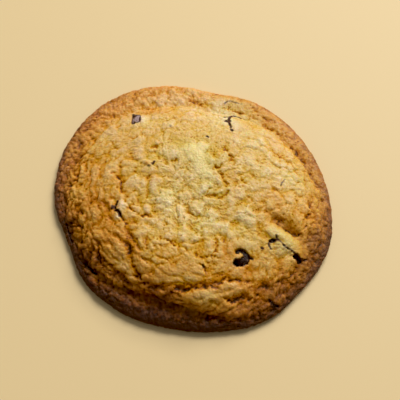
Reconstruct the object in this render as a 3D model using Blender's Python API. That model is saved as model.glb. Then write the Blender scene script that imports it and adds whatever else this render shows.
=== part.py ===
"""Large chocolate chip cookie, baked free on a flat sheet, at its real size.

The dough is one solid: a thick soft dome that slumped while it baked, standing on a thin browned
skirt. At the front left the dome ends in a steep fold over the skirt; elsewhere it runs out to the
rim in a slope. Chocolate chips sit in pockets of their own and show through the crust.

Frame: +Z up, +Y to the back, +X to the right, origin at the middle of the flat underside.
"""

import math

import bmesh
import bpy
from mathutils import Matrix, Vector, noise

MM = 0.001

# Driving dimensions, in millimetres.
DOME_HEIGHT = 14.5
SKIRT_HEIGHT = 5.2
NOSE_HEIGHT = 2.0
FOOT_INSET = 1.3

# How full the curves are: a higher power stays level for longer and drops more sharply.
SKIRT_ROUNDING = 10
DOME_ROUNDING = 2.2
GENTLE_POWER = 1.10
STEEP_POWER = 0.35

# Outline of the cookie: distance from the middle to the edge, every 20 degrees from +X.
EDGE_RADII = (
    51.7, 50.3, 49.7, 49.3, 47.9, 51.2, 54.2, 54.9, 53.8,
    51.9, 49.0, 50.5, 50.3, 49.9, 51.2, 53.3, 52.7, 53.6,
)
# Foot of the dome as a share of the edge radius, every 30 degrees from +X.
DOME_REACH = (0.91, 0.84, 0.79, 0.79, 0.80, 0.86, 0.93, 0.94, 0.84, 0.86, 0.93, 0.95)
# How abruptly the dome ends there: 0 runs out in a slope, 1 ends in an upright fold.
DOME_STEEPNESS = (0.35, 0.35, 0.35, 0.20, 0.15, 0.15, 0.25, 0.65, 1.00, 0.95, 0.45, 0.30)

# Where the dome ends in a fold, the skirt dips into a groove along the dome's foot.
GROOVE_DEPTH = 1.0
GROOVE_OFFSET = 0.8
GROOVE_HALF_WIDTH = 1.8

# Wrinkles that run round the dome, where the crust set before the middle sank. They wander in and
# out, and fade at the rim and on the crown. Each wander: waves in a turn, start, reach.
WRINKLE_SPACING = 5.0
WRINKLE_HEIGHT = 0.20
WRINKLE_WANDERS = ((3, 0.6, 1.4), (7, -1.1, 0.8))
WRINKLE_RIM_FADE = 4.0
WRINKLE_REACH = 34.0

# Soft lumps all over the crust.
LUMP_SPACING = 6.0
LUMP_HEIGHT = 0.45

# Folds and cracks: depth, half width, and the route in millimetres from the middle.
FOLDS = (
    ("back fold", 1.6, 2.0, [(-1, 41.5), (6, 39), (12.5, 38.5), (18, 36.5), (23, 33.5), (29, 32)]),
    ("right fold", 1.7, 2.0, [(33, 27), (36.5, 22), (40.5, 16.5), (43.5, 11.5), (47, 5)]),
    ("inner right fold", 1.0, 1.8, [(28.5, 19), (33, 15.5), (38, 11), (41, 7.5)]),
    ("middle crack", 1.3, 1.7, [(12.5, 11.5), (8.5, 8.5), (10.5, 5.5), (13, 0), (9, -4), (4, -3)]),
    ("left fold", 1.1, 1.8, [(-31, 9), (-26.5, 4), (-25.5, -2.5), (-21, -9), (-15, -11)]),
    ("lower left fold", 1.1, 1.8, [(-25, -9), (-23.5, -17), (-18.5, -23.5), (-12, -28)]),
    ("front fold", 1.2, 1.8, [(-12.5, -18.5), (-7, -21.5), (0, -23.5), (8, -26)]),
    ("front roll", 1.4, 1.9, [(-14, -35.5), (-6, -37.5), (2.5, -37.5), (10.5, -38.5), (18, -37)]),
)
FOLD_CLOSING = 0.6
# Broad swells and hollows: rise, centre, spread along and across, and heading in degrees.
SWELLS = (
    ("crown", 1.0, (2.0, 8.0), 15.0, 15.0, 0.0),
    ("pale bump on the crown", 0.5, (0.5, 13.0), 5.0, 6.0, 0.0),
    ("right hollow", -1.5, (34.5, -13.5), 7.5, 3.2, -20.0),
    ("right ridge", 0.9, (34.0, -18.5), 8.5, 2.2, -35.0),
    ("front roll top", 0.7, (-4.0, -34.0), 11.0, 2.4, 0.0),
    ("left flap", 0.6, (-30.0, 3.0), 3.6, 5.0, 0.0),
)
RIM_CALM = 0.06
SLOPE_STEP = 1.5

# Mesh: the top is a round net of square rings. One ring follows the dome's foot, and the rings
# crowd together towards it and towards the rim.
RINGS = 27
FOOT_RING = 21
FOOT_CROWDING = 1.25
RIM_CROWDING = 1.35
EDGE_STEPS = 3
SMOOTH_ANGLE = math.radians(50)

# Chips: centre, length, width, height, heading in degrees, and how far each stands proud.
CHIPS = (
    ("chip_back_left", (-21.9, 32.6), 6.4, 5.4, 4.4, 80.0, 0.9),
    ("chip_back_right", (14.0, 29.3), 8.6, 6.0, 5.4, -65.0, 0.8),
    ("chip_back_rim", (15.0, 41.6), 7.6, 3.6, 2.6, -10.0, 0.7),
    ("chip_left", (-27.0, -7.3), 8.4, 4.8, 5.6, -70.0, 0.8),
    ("chip_front", (17.6, -25.7), 9.6, 8.0, 6.4, -60.0, 1.2),
    ("chip_right_upper", (29.4, -19.8), 6.6, 5.8, 5.4, 20.0, 1.0),
    ("chip_right_lower", (37.9, -25.1), 6.6, 5.4, 4.2, -50.0, 1.0),
    ("chip_right_middle", (32.2, 2.5), 6.4, 4.0, 5.0, 60.0, 0.6),
    ("chip_middle", (-15.7, 10.5), 5.6, 4.6, 5.0, 40.0, 0.6),
    ("chip_left_rim", (-45.8, -12.8), 9.4, 3.6, 2.6, -72.0, 0.6),
    ("chip_fold", (-37.3, -27.5), 8.0, 3.6, 2.6, -42.0, 0.7),
    ("chip_front_rim", (29.2, -40.3), 6.4, 4.4, 2.6, 35.0, 0.7),
)
# A chip's side, from its tip to its flat base: share of the radius, share of the height.
CHIP_PROFILE = ((0.0, 1.0), (0.46, 0.92), (0.82, 0.70), (1.0, 0.38), (0.90, 0.06), (0.0, 0.0))
CHIP_SIDES = 8
POCKET_GAP = 0.35

DOUGH_COLOUR = (0.57, 0.33, 0.10, 1.0)
CHOCOLATE_COLOUR = (0.035, 0.016, 0.010, 1.0)


def clamp(value):
    return min(max(value, 0.0), 1.0)


def around(values, angle):
    """Smooth closed curve through values set at equal angles, read at angle in radians."""
    turn = (angle / math.tau % 1.0) * len(values)
    step = math.floor(turn)
    u = turn - step
    before, here, after, beyond = (values[(step + k) % len(values)] for k in (-1, 0, 1, 2))
    bend = 2 * before - 5 * here + 4 * after - beyond
    return here + 0.5 * u * (after - before + u * (bend + u * (3 * (here - after) + beyond - before)))


def fold_height(x, y, depth, half_width, route):
    """A valley along the route, deepest at the middle of its length and closing at both ends."""
    lengths = [math.dist(start, end) for start, end in zip(route, route[1:])]
    nearest, passed, place = math.inf, 0.0, 0.0
    for (x0, y0), (x1, y1), length in zip(route, route[1:], lengths):
        dx, dy = x1 - x0, y1 - y0
        along = clamp(((x - x0) * dx + (y - y0) * dy) / length**2)
        distance = math.hypot(x - x0 - along * dx, y - y0 - along * dy)
        if distance < nearest:
            nearest, place = distance, passed + along * length
        passed += length
    closing = clamp(math.sin(math.pi * place / passed)) ** FOLD_CLOSING
    return -depth * closing * math.exp(-((nearest / half_width) ** 2))


def swell_height(x, y, rise, centre, along, across, heading):
    """A broad smooth hill, or a hollow where the rise is negative."""
    turn = math.radians(heading)
    dx, dy = x - centre[0], y - centre[1]
    u = dx * math.cos(turn) + dy * math.sin(turn)
    v = dy * math.cos(turn) - dx * math.sin(turn)
    return rise * math.exp(-((u / along) ** 2) - (v / across) ** 2)


def skirt_height(share):
    """Top of the thin skirt, rounding over to the nose as share of the edge radius nears 1."""
    return NOSE_HEIGHT + (SKIRT_HEIGHT - NOSE_HEIGHT) * math.sqrt(clamp(1 - share**SKIRT_ROUNDING))


def dome_height(radius, angle, edge):
    """The dome's rise above the skirt, less the groove at the foot of its fold."""
    reach = around(DOME_REACH, angle) * edge
    steepness = around(DOME_STEEPNESS, angle)
    power = GENTLE_POWER + (STEEP_POWER - GENTLE_POWER) * steepness
    inside = clamp(1 - (radius / reach) ** DOME_ROUNDING)
    groove = math.exp(-(((radius - reach - GROOVE_OFFSET) / GROOVE_HALF_WIDTH) ** 2))
    return (DOME_HEIGHT - SKIRT_HEIGHT) * inside**power - GROOVE_DEPTH * steepness * groove


def wrinkle_height(radius, angle, edge):
    """Shallow waves that follow the rim."""
    inward = edge - radius
    wander = sum(reach * math.sin(waves * angle + start) for waves, start, reach in WRINKLE_WANDERS)
    wave = math.cos(math.tau * (inward + wander) / WRINKLE_SPACING)
    fade = clamp(inward / WRINKLE_RIM_FADE) * clamp(2 - 2 * inward / WRINKLE_REACH)
    return WRINKLE_HEIGHT * wave * fade


def lump_height(x, y):
    return LUMP_HEIGHT * noise.noise(Vector((x, y, 0)) / LUMP_SPACING)


def crust_height(x, y):
    """Height of the cookie's top at (x, y), all in millimetres."""
    radius, angle = math.hypot(x, y), math.atan2(y, x)
    edge = around(EDGE_RADII, angle)
    share = min(radius / edge, 1.0)
    relief = wrinkle_height(radius, angle, edge) + lump_height(x, y)
    relief += sum(fold_height(x, y, *fold) for _, *fold in FOLDS)
    relief += sum(swell_height(x, y, *swell) for _, *swell in SWELLS)
    return skirt_height(share) + dome_height(radius, angle, edge) + relief * clamp((1 - share) / RIM_CALM)


def crust_normal(x, y):
    slope_x = (crust_height(x + SLOPE_STEP, y) - crust_height(x - SLOPE_STEP, y)) / (2 * SLOPE_STEP)
    slope_y = (crust_height(x, y + SLOPE_STEP) - crust_height(x, y - SLOPE_STEP)) / (2 * SLOPE_STEP)
    return Vector((-slope_x, -slope_y, 1.0)).normalized()


def round_net_place(u, v):
    """Where a point of the square net, -1 to 1 each way, lands: share of the edge radius, and angle."""
    ring = max(abs(u), abs(v)) * RINGS
    if ring < 0.5:
        return 0.0, 0.0
    if abs(u) >= abs(v):
        angle = (math.pi / 4) * (v / u) + (0.0 if u > 0 else math.pi)
    else:
        angle = math.pi / 2 - (math.pi / 4) * (u / v) + (0.0 if v > 0 else math.pi)
    foot = around(DOME_REACH, angle)
    if ring <= FOOT_RING:
        return foot * (1 - (1 - ring / FOOT_RING) ** FOOT_CROWDING), angle
    outward = clamp((ring - FOOT_RING) / (RINGS - FOOT_RING))
    return foot + (1 - foot) * (1 - (1 - outward) ** RIM_CROWDING), angle


def rim_point(angle, step):
    """A point of the rounded edge, from the nose at step 0 down to the foot at the last step."""
    quarter = (math.pi / 2) * step / EDGE_STEPS
    radius = around(EDGE_RADII, angle) - FOOT_INSET * (1 - math.cos(quarter))
    height = NOSE_HEIGHT * (1 - math.sin(quarter))
    return Vector((radius * math.cos(angle), radius * math.sin(angle), height)) * MM


def make_material(name, colour, roughness):
    made = bpy.data.materials.new(name)
    made.use_nodes = True
    shader = made.node_tree.nodes["Principled BSDF"]
    shader.inputs["Base Color"].default_value = colour
    shader.inputs["Roughness"].default_value = roughness
    shader.inputs["Metallic"].default_value = 0.0
    return made


def add_object(name, bm):
    mesh = bpy.data.meshes.new(name)
    bm.to_mesh(mesh)
    bm.free()
    made = bpy.data.objects.new(name, mesh)
    bpy.context.scene.collection.objects.link(made)
    return made


def build_dough(dough_material):
    """A flat net rounded into the outline and raised, its edge turned under, its base closed flat."""
    bm = bmesh.new()
    bmesh.ops.create_grid(bm, x_segments=2 * RINGS, y_segments=2 * RINGS, size=1.0)
    for vertex in bm.verts:
        share, angle = round_net_place(vertex.co.x, vertex.co.y)
        radius = share * around(EDGE_RADII, angle)
        x, y = radius * math.cos(angle), radius * math.sin(angle)
        vertex.co = Vector((x, y, crust_height(x, y))) * MM
    boundary = [edge for edge in bm.edges if edge.is_boundary]
    for step in range(1, EDGE_STEPS + 1):
        grown = bmesh.ops.extrude_edge_only(bm, edges=boundary)["geom"]
        for vertex in (part for part in grown if isinstance(part, bmesh.types.BMVert)):
            vertex.co = rim_point(math.atan2(vertex.co.y, vertex.co.x), step)
        boundary = [part for part in grown if isinstance(part, bmesh.types.BMEdge) and part.is_boundary]
    bmesh.ops.contextual_create(bm, geom=boundary)
    bmesh.ops.recalc_face_normals(bm, faces=bm.faces)
    dough = add_object("cookie_dough", bm)
    dough.data.materials.append(dough_material)
    dough.data.shade_smooth()
    dough.data.set_sharp_from_angle(angle=SMOOTH_ANGLE)
    return dough


def turned_drop(length, width, height, margin=0.0):
    """A chocolate drop, turned about its own axis, then stretched to length and width."""
    bm = bmesh.new()
    profile = [bm.verts.new((radius, 0.0, level)) for radius, level in reversed(CHIP_PROFILE)]
    edges = [bm.edges.new(pair) for pair in zip(profile, profile[1:])]
    bmesh.ops.spin(
        bm, geom=profile + edges, cent=(0, 0, 0), axis=(0, 0, 1), angle=math.tau, steps=CHIP_SIDES
    )
    bmesh.ops.remove_doubles(bm, verts=bm.verts, dist=1e-4)
    bmesh.ops.recalc_face_normals(bm, faces=bm.faces)
    half_length, half_width = length / 2 + margin, width / 2 + margin
    for vertex in bm.verts:
        level = vertex.co.z * (height + 2 * margin) - margin
        vertex.co = Vector((vertex.co.x * half_length, vertex.co.y * half_width, level)) * MM
    return bm


def chip_placement(centre, height, heading, proud):
    """The chip's axis leans with the crust, and its tip stands proud of the crust."""
    normal = crust_normal(*centre)
    crust = Vector((*centre, crust_height(*centre)))
    base = (crust + normal * (proud - height)) * MM
    lean = Vector((0, 0, 1)).rotation_difference(normal).to_matrix().to_4x4()
    return Matrix.Translation(base) @ lean @ Matrix.Rotation(math.radians(heading), 4, "Z")


def build_chips(dough, chocolate):
    """Each chip, and its pocket: the same shape a little larger, cut out of the dough."""
    for name, centre, length, width, height, heading, proud in CHIPS:
        placement = chip_placement(centre, height, heading, proud)
        chip = add_object(name, turned_drop(length, width, height))
        chip.matrix_world = placement
        chip.data.materials.append(chocolate)
        chip.data.shade_smooth()
        cutter = add_object(name + "_pocket", turned_drop(length, width, height, POCKET_GAP))
        cutter.matrix_world = placement
        cutter.display_type = "WIRE"
        cutter.hide_render = True
        pocket = dough.modifiers.new(name + " pocket", "BOOLEAN")
        pocket.operation = "DIFFERENCE"
        pocket.solver = "EXACT"
        pocket.object = cutter


def main():
    for existing in list(bpy.data.objects):
        bpy.data.objects.remove(existing)
    dough = build_dough(make_material("baked dough", DOUGH_COLOUR, 0.75))
    build_chips(dough, make_material("dark chocolate", CHOCOLATE_COLOUR, 0.40))


main()
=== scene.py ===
import math

import bmesh
import bpy
import numpy as np
from mathutils import Matrix, Vector, geometry


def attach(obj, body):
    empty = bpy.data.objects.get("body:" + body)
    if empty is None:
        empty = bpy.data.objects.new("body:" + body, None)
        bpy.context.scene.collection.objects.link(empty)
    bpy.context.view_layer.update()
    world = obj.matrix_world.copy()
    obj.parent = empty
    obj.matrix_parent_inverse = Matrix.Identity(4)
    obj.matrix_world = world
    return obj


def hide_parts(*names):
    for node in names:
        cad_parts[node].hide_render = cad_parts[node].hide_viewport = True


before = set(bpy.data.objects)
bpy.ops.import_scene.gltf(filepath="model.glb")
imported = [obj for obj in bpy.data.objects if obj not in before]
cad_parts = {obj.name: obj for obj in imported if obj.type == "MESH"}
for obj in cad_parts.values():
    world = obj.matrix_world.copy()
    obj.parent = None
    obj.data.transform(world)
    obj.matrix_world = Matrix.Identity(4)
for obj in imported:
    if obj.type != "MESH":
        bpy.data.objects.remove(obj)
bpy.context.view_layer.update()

# ---------------------------------------------------------------- the baked dough
# One scoop of butter and brown sugar dough, baked free on a flat sheet. It spread into a thin skirt
# and rose into a dome; the crust set first, then the middle sank, and at the front left the dome
# slumped over the skirt in a steep fold.

# Lengths are in millimetres. Headings are in degrees, from the right side round towards the back, and
# the tables that go all round the cookie have their values at equal angles, counted the same way.
DOME_HEIGHT = 13.8
SKIRT_HEIGHT = 5.0
NOSE_HEIGHT = 2.0
FOOT_INSET = 1.3
# How square the skirt's edge is, then the dome's shoulder on its gentle and on its steep sides, and how
# fast the dome comes down on each.
SKIRT_ROUNDING = 10
GENTLE_ROUNDING = 2.4
STEEP_ROUNDING = 5.5
GENTLE_POWER = 1.10
STEEP_POWER = 0.30
# The outline's radii, and how far inside it the dough stays, so that its lumps keep within it too.
EDGE_RADII = (
    51.7, 50.3, 49.7, 49.3, 47.9, 51.2, 54.2, 54.9, 53.8,
    51.9, 49.0, 50.5, 50.3, 49.9, 51.2, 53.3, 52.7, 53.6,
)
EDGE_SLACK = 0.65
# Where the dome meets the skirt, as a share of the edge's radius, and how steeply it comes down there.
DOME_REACH = (
    0.93, 0.90, 0.86, 0.82, 0.80, 0.785, 0.79, 0.79, 0.80, 0.83, 0.86, 0.90,
    0.93, 0.945, 0.93, 0.885, 0.845, 0.83, 0.85, 0.94, 0.965, 0.965, 0.96, 0.95,
)
DOME_STEEPNESS = (
    0.24, 0.25, 0.26, 0.28, 0.30, 0.28, 0.20, 0.16, 0.15, 0.15, 0.15, 0.18,
    0.28, 0.36, 0.46, 0.54, 0.66, 0.82, 0.80, 0.40, 0.20, 0.18, 0.18, 0.22,
)
# On the steep sides the dome's foot overhangs as a lip, and a groove runs along under it.
GROOVE_DEPTH = 0.4
GROOVE_OFFSET = 0.8
GROOVE_HALF_WIDTH = 1.8
LIP_OVERHANG = 2.2
LIP_START = 0.82
# Broad swells and hollows: height, centre, half lengths along and across, and heading.
SWELLS = (
    ("crown", 0.5, (2.0, 3.0), 15.0, 17.0),
    ("pale bump on the crown", 0.5, (0.5, 13.0), 5.0, 6.0),
    ("right hollow", -1.9, (32.5, -12.8), 6.8, 3.0, -35.0),
    ("right ridge", 0.7, (33.5, -19.0), 8.5, 2.6, -35.0),
    ("front shoulder", 1.1, (2.0, -26.0), 20.0, 10.0),
    ("left front shoulder", 1.1, (-20.0, -20.0), 14.0, 9.0, -45.0),
    ("front roll", 0.7, (4.0, -40.5), 7.0, 2.4),
    ("left flap", 0.6, (-30.0, 3.0), 3.6, 5.0),
)
SWELL_FADE = 0.06

# The net that the crust is raised from: square rings rounded into the outline.
RINGS = 140
FOOT_RING = 118
EDGE_RINGS = 8
FOOT_CROWDING = 1.12


def clamp(values):
    """The values, held between 0 and 1."""
    return np.clip(values, 0.0, 1.0)


def rise(values, low, high):
    """0 up to low, 1 from high on, and a smooth rise between them."""
    t = clamp((values - low) / (high - low))
    return t * t * (3 - 2 * t)


def around(values, angle):
    """Smooth closed curve through values set at equal angles, read at angle in radians."""
    table = np.array(values)
    turn = (angle / math.tau % 1.0) * len(table)
    step = np.floor(turn).astype(int)
    u = turn - step
    before, here, after, beyond = (table[(step + k) % len(table)] for k in (-1, 0, 1, 2))
    bend = 2 * before - 5 * here + 4 * after - beyond
    return here + 0.5 * u * (after - before + u * (bend + u * (3 * (here - after) + beyond - before)))


def swell(spots, height, centre, along, across, heading=0.0):
    """A broad smooth hill, or a hollow where the height is negative."""
    turn = math.radians(heading)
    dx, dy = spots[..., 0] - centre[0], spots[..., 1] - centre[1]
    u = dx * math.cos(turn) + dy * math.sin(turn)
    v = dy * math.cos(turn) - dx * math.sin(turn)
    return height * np.exp(-((u / along) ** 2) - (v / across) ** 2)


def round_net():
    """Ring number and angle of every point of the square net."""
    last = RINGS + EDGE_RINGS
    steps = np.arange(-last, last + 1, dtype=float)
    u, v = np.meshgrid(steps, steps)
    sideways = np.abs(u) >= np.abs(v)
    longer = np.where(sideways, u, v)
    slant = np.where(sideways, v, u) / np.where(longer == 0, 1, longer)
    across = math.pi / 4 * slant + np.where(u > 0, 0, math.pi)
    upright = math.pi / 2 - math.pi / 4 * slant + np.where(v > 0, 0, math.pi)
    return np.maximum(np.abs(u), np.abs(v)), np.where(sideways, across, upright)


ring, angle = round_net()
edge = around(EDGE_RADII, angle) - EDGE_SLACK
reach = around(DOME_REACH, angle)
steepness = around(DOME_STEEPNESS, angle)

inner = clamp(ring / FOOT_RING)
outer = clamp((ring - FOOT_RING) / (RINGS - FOOT_RING))
turned = clamp((ring - RINGS) / EDGE_RINGS) * math.pi / 2
share = np.where(ring <= FOOT_RING, reach * (1 - (1 - inner) ** FOOT_CROWDING), reach + (1 - reach) * outer)
radius = share * edge

skirt = NOSE_HEIGHT + (SKIRT_HEIGHT - NOSE_HEIGHT) * np.sqrt(clamp(1 - share**SKIRT_ROUNDING))
power = GENTLE_POWER + (STEEP_POWER - GENTLE_POWER) * steepness
rounding = GENTLE_ROUNDING + (STEEP_ROUNDING - GENTLE_ROUNDING) * steepness
dome = (DOME_HEIGHT - SKIRT_HEIGHT) * clamp(1 - (share / reach) ** rounding) ** power
past_groove = radius - reach * edge - GROOVE_OFFSET
groove = GROOVE_DEPTH * steepness * np.exp(-((past_groove / GROOVE_HALF_WIDTH) ** 2))
height = skirt + dome - groove

lip = clamp((share / reach - LIP_START) / (1 - LIP_START)) * (ring <= FOOT_RING)
radius = radius + LIP_OVERHANG * steepness**1.5 * lip**2 * (1 - lip**10)
radius = radius - FOOT_INSET * (1 - np.cos(turned))
height = np.where(ring > RINGS, NOSE_HEIGHT * (1 - np.sin(turned)), height)
plan = np.stack((radius * np.cos(angle), radius * np.sin(angle)), axis=-1)
for _, *shape in SWELLS:
    height = height + swell(plan, *shape) * clamp((1 - share) / SWELL_FADE)
places = np.dstack((plan, height))


def smoothed(grid, passes):
    """Each point of the net averaged with its four neighbours, passes times over."""
    for _ in range(passes):
        padded = np.pad(grid, [(1, 1), (1, 1)] + [(0, 0)] * (grid.ndim - 2), mode="edge")
        grid = (padded[:-2, 1:-1] + padded[2:, 1:-1] + padded[1:-1, :-2] + padded[1:-1, 2:] + 2 * grid) / 6
    return grid


def normals_of(grid):
    """The direction straight out of the net's surface at each of its points."""
    across = np.cross(np.gradient(grid, axis=1), np.gradient(grid, axis=0))
    return across / np.maximum(np.linalg.norm(across, axis=-1, keepdims=True), 1e-9)


outward = smoothed(normals_of(places), 4)
outward = outward / np.linalg.norm(outward, axis=-1, keepdims=True)

# The crust's relief. The crust of a sugary dough dries into plates and lumps with creases between them.
# On the crown they lie every way; further out they are drawn into wrinkles that run round the dome.

LATTICE = 256
dice = np.random.default_rng(11)
SHUFFLED = dice.permutation(LATTICE)
SLOPES = dice.normal(size=(LATTICE, 3))
SLOPES = SLOPES / np.linalg.norm(SLOPES, axis=1, keepdims=True)
SPOTS = dice.random((LATTICE, 4))


def lattice_numbers(corners, seed):
    """A repeatable number for each whole-number corner of space."""
    first = SHUFFLED[(corners[..., 0] + seed) % LATTICE]
    second = SHUFFLED[(first + corners[..., 1]) % LATTICE]
    return SHUFFLED[(second + corners[..., 2]) % LATTICE]


def waves(spots, seed):
    """Smooth random hills and hollows, one lattice step apart, from about -1 to 1."""
    base = np.floor(spots).astype(int)
    inside = spots - base
    blend = inside**3 * (inside * (inside * 6 - 15) + 10)
    total = 0
    for corner in np.ndindex(2, 2, 2):
        slopes = SLOPES[lattice_numbers(base + corner, seed)]
        weight = np.prod(np.where(corner, blend, 1 - blend), axis=-1)
        total = total + weight * np.sum(slopes * (inside - corner), axis=-1)
    return 1.6 * total


def jostled(spots, *pushes):
    """The same spots, pushed about by random hills: each push has its size, amount and seed."""
    for size, amount, seed in pushes:
        hills = [waves(places / size, seed + k) for k in range(spots.shape[-1])]
        spots = spots + amount * np.stack(hills, axis=-1)
    return spots


def billows(spots, seed, sharpness=0.85):
    """Swollen lumps with creases where they meet, as heights above or below their usual level."""
    return np.abs(waves(spots, seed)) ** sharpness - 0.3


def clots(spots, seed):
    """Round lumps of many sizes crowded together: heights above or below their usual level."""
    base = np.floor(spots).astype(int)
    tallest = np.zeros(spots.shape[:-1])
    for offset in np.ndindex(3, 3, 3):
        corner = base + np.array(offset) - 1
        number = lattice_numbers(corner, seed)
        away = spots - corner - SPOTS[number, :3]
        size = 0.45 + 0.50 * SPOTS[number, 3]
        lump = size * clamp(1 - np.sum(away**2, axis=-1) / size**2) ** 0.55
        tallest = np.maximum(tallest, lump)
    return tallest - 0.45


def grainy(spots, seed):
    """Uneven hills a step apart, with smaller and smaller ones on them."""
    return sum(0.6**k * waves(spots / 0.58**k, seed + k) for k in range(3))


def cells(spots, seed, count=LATTICE):
    """The flat plane shared out among scattered centres, repeating after count cells along the first way.

    Distances to the nearest and the next centre, the nearest one's chance number, and a random slope
    that falls across its cell.
    """
    base = np.floor(spots).astype(int)
    nearest = np.full(spots.shape[:-1], 9.0)
    following = nearest.copy()
    chance = np.zeros_like(nearest)
    slope = np.zeros_like(nearest)
    for offset in np.ndindex(3, 3):
        corner = base + np.array(offset) - 1
        column = np.stack((corner[..., 0] % count, corner[..., 1], 0 * corner[..., 1]), axis=-1)
        number = lattice_numbers(column, seed)
        away = spots - corner - 0.1 - 0.8 * SPOTS[number, :2]
        distance = np.linalg.norm(away, axis=-1)
        closer = distance < nearest
        following = np.where(closer, nearest, np.minimum(following, distance))
        chance = np.where(closer, SPOTS[number, 2], chance)
        slope = np.where(closer, np.sum(SLOPES[number, :2] * away, axis=-1), slope)
        nearest = np.where(closer, distance, nearest)
    return nearest, following, chance, slope


def plates(spots, seed, crease, count=LATTICE):
    """Dried plates of crust with soft creases between them, each with its own height and lean."""
    nearest, following, chance, slope = cells(spots, seed, count)
    bulge = 1 - np.exp(-(((following - nearest) / crease) ** 1.3))
    return bulge * (0.75 + 0.6 * chance + 0.7 * slope) - 0.7


def facing(heading):
    """1 on the side of the cookie that a heading points to, falling to -1 on the far side."""
    return np.cos(angle - math.radians(heading))


# The crust rolled out flat: further from the middle as it drops towards the foot. Spots on it are
# jostled, so that nothing on the crust is straight.
FALL = 0.8
spread = radius + FALL * (DOME_HEIGHT - height)
flat = np.stack((spread * np.cos(angle), spread * np.sin(angle)), axis=-1)
loose = jostled(flat, (6.5, 2.2, 20), (2.2, 0.7, 24), (3.2, 1.2, 88), (1.1, 0.35, 26))
bent = jostled(flat, (5.5, 1.8, 28), (2.0, 0.6, 46)) - flat
crooked = jostled(bent, (1.1, 0.30, 86))
lively = jostled(places, (6.0, 2.0, 62), (2.2, 0.6, 66))

# The zones of the crust, each 1 where it is strongest, and the sides on which they lie.
WRINKLED_SIDE = 215
PLEATED_SIDE = 308
GRAINED_SIDE = 165
on_crown = 1 - rise(share, 0.35, 0.65)
on_skirt = rise(share / reach, 0.96, 1.06)
on_slope = (1 - on_crown) * (1 - 0.6 * on_skirt)
drawn = on_slope * (0.30 + 0.70 * clamp(0.35 + 0.8 * facing(WRINKLED_SIDE)))
wrinkled = rise(drawn, 0.50, 0.85)
rimward = rise(share, 0.66, 0.80) * (1 - rise(share, 0.92, 0.98))
pleated = rise(share, 0.60, 0.80) * clamp(1.6 * facing(PLEATED_SIDE) - 0.4)
grained = rise(share, 0.70, 0.86) * clamp(0.70 + 0.5 * facing(GRAINED_SIDE))
patchy = 0.72 + 0.8 * waves(places / 8.0, 37)

# The radius at which wrinkles run at their stated length; they are shorter inside it.
WRINKLE_RADIUS = 38.0


def ring_spots(length, width):
    """Places counted round the dome in steps of length, and outwards from the middle in steps of width."""
    turns = WRINKLE_RADIUS / length
    across = (spread + bent[..., 1]) / width
    return np.stack((turns * np.cos(angle), turns * np.sin(angle), across), axis=-1) + bent[..., :1] / 6


def ring_plates(length, width, seed, crease):
    """Dried plates drawn out round the dome: so long and so wide."""
    count = round(math.tau * WRINKLE_RADIUS / length)
    turns = angle / math.tau * count + crooked[..., 0] / length
    return plates(np.stack((turns, (spread + crooked[..., 1]) / width), axis=-1), seed, crease, count)


# How tall each kind of lump stands in each zone, and the lumps, by their size and seed.
LUMPS = (
    ("broad swellings", 1.6 * on_crown + 1.0 * on_slope, billows(lively / 8.0, 31, 0.9)),
    ("large lumps", (0.9 * on_crown + 0.5 * on_slope) * patchy, clots(lively / 5.2, 32)),
    ("long wrinkles", 1.1 * drawn, billows(ring_spots(10.0, 3.8), 35)),
    ("lumps along the wrinkles", 0.8 * drawn, clots(ring_spots(4.2, 2.2), 36)),
    ("wrinkles near the rim", 0.4 * rimward * (1 - drawn), billows(ring_spots(9.0, 2.6), 41)),
    ("pleats at the front right", 0.8 * pleated, clots(ring_spots(3.4, 1.7), 45)),
    ("middling lumps", (0.60 - 0.35 * drawn) * (1 - 0.7 * pleated) * patchy, clots(lively / 3.0, 34)),
    ("small lumps on the crown", 0.25 * on_crown, clots(lively / 2.4, 44)),
    ("coarse grain on the left", 1.5 * grained, clots(lively / 1.7, 47)),
    ("small lumps", 0.40 * patchy - 0.20 * on_skirt * steepness, clots(lively / 1.9, 38)),
    ("smallest lumps", 0.30 + 0.40 * on_skirt * (1 - 0.6 * steepness), clots(lively / 1.3, 39)),
    ("lumps on the thin skirt", 0.9 * on_skirt * (1 - 0.7 * steepness), clots(lively / 2.6, 43)),
    ("lumps on the skirt below the fold", 0.75 * on_skirt * steepness, clots(lively / 1.5, 49)),
    ("fine grain", 0.10, grainy(jostled(places, (1.3, 0.3, 40)), 33)),
)
LUMP_STRENGTH = 0.58
LARGE_PLATES = 0.44
SMALL_PLATES = 0.28
SKIRT_CALM = 0.42

relief = LUMP_STRENGTH * sum(tall * lumps for _, tall, lumps in LUMPS)
large = (1 - wrinkled) * plates(loose / 6.5, 81, 0.18) + wrinkled * ring_plates(9.0, 4.2, 83, 0.24)
small = (1 - wrinkled) * plates(loose / 3.1, 82, 0.24) + wrinkled * ring_plates(4.2, 2.1, 84, 0.28)
plated = LARGE_PLATES * clamp(patchy + 0.2) * large + SMALL_PLATES * clamp(1.3 - 0.8 * patchy) * small
relief = relief + (1 - 0.5 * on_skirt) * (1 - 0.2 * on_crown) * plated
relief = relief * (1 - SKIRT_CALM * on_skirt * steepness)


def along_route(spots, route):
    """Distance to an open route, to which side of it, and how far along it the nearest point lies, 0 to 1."""
    x, y = spots[..., 0], spots[..., 1]
    nearest = np.full(x.shape, 1e6)
    side = np.zeros_like(nearest)
    place = np.zeros_like(nearest)
    passed = 0.0
    for (x0, y0), (x1, y1) in zip(route, route[1:]):
        dx, dy = x1 - x0, y1 - y0
        length = math.hypot(dx, dy)
        t = clamp(((x - x0) * dx + (y - y0) * dy) / length**2)
        away = np.hypot(x - x0 - t * dx, y - y0 - t * dy)
        closer = away < nearest
        turned_left = dx * (y - y0) - dy * (x - x0)
        side = np.where(closer, turned_left / length, side)
        place = np.where(closer, passed + t * length, place)
        nearest = np.where(closer, away, nearest)
        passed += length
    return nearest, side, place / passed


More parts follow.
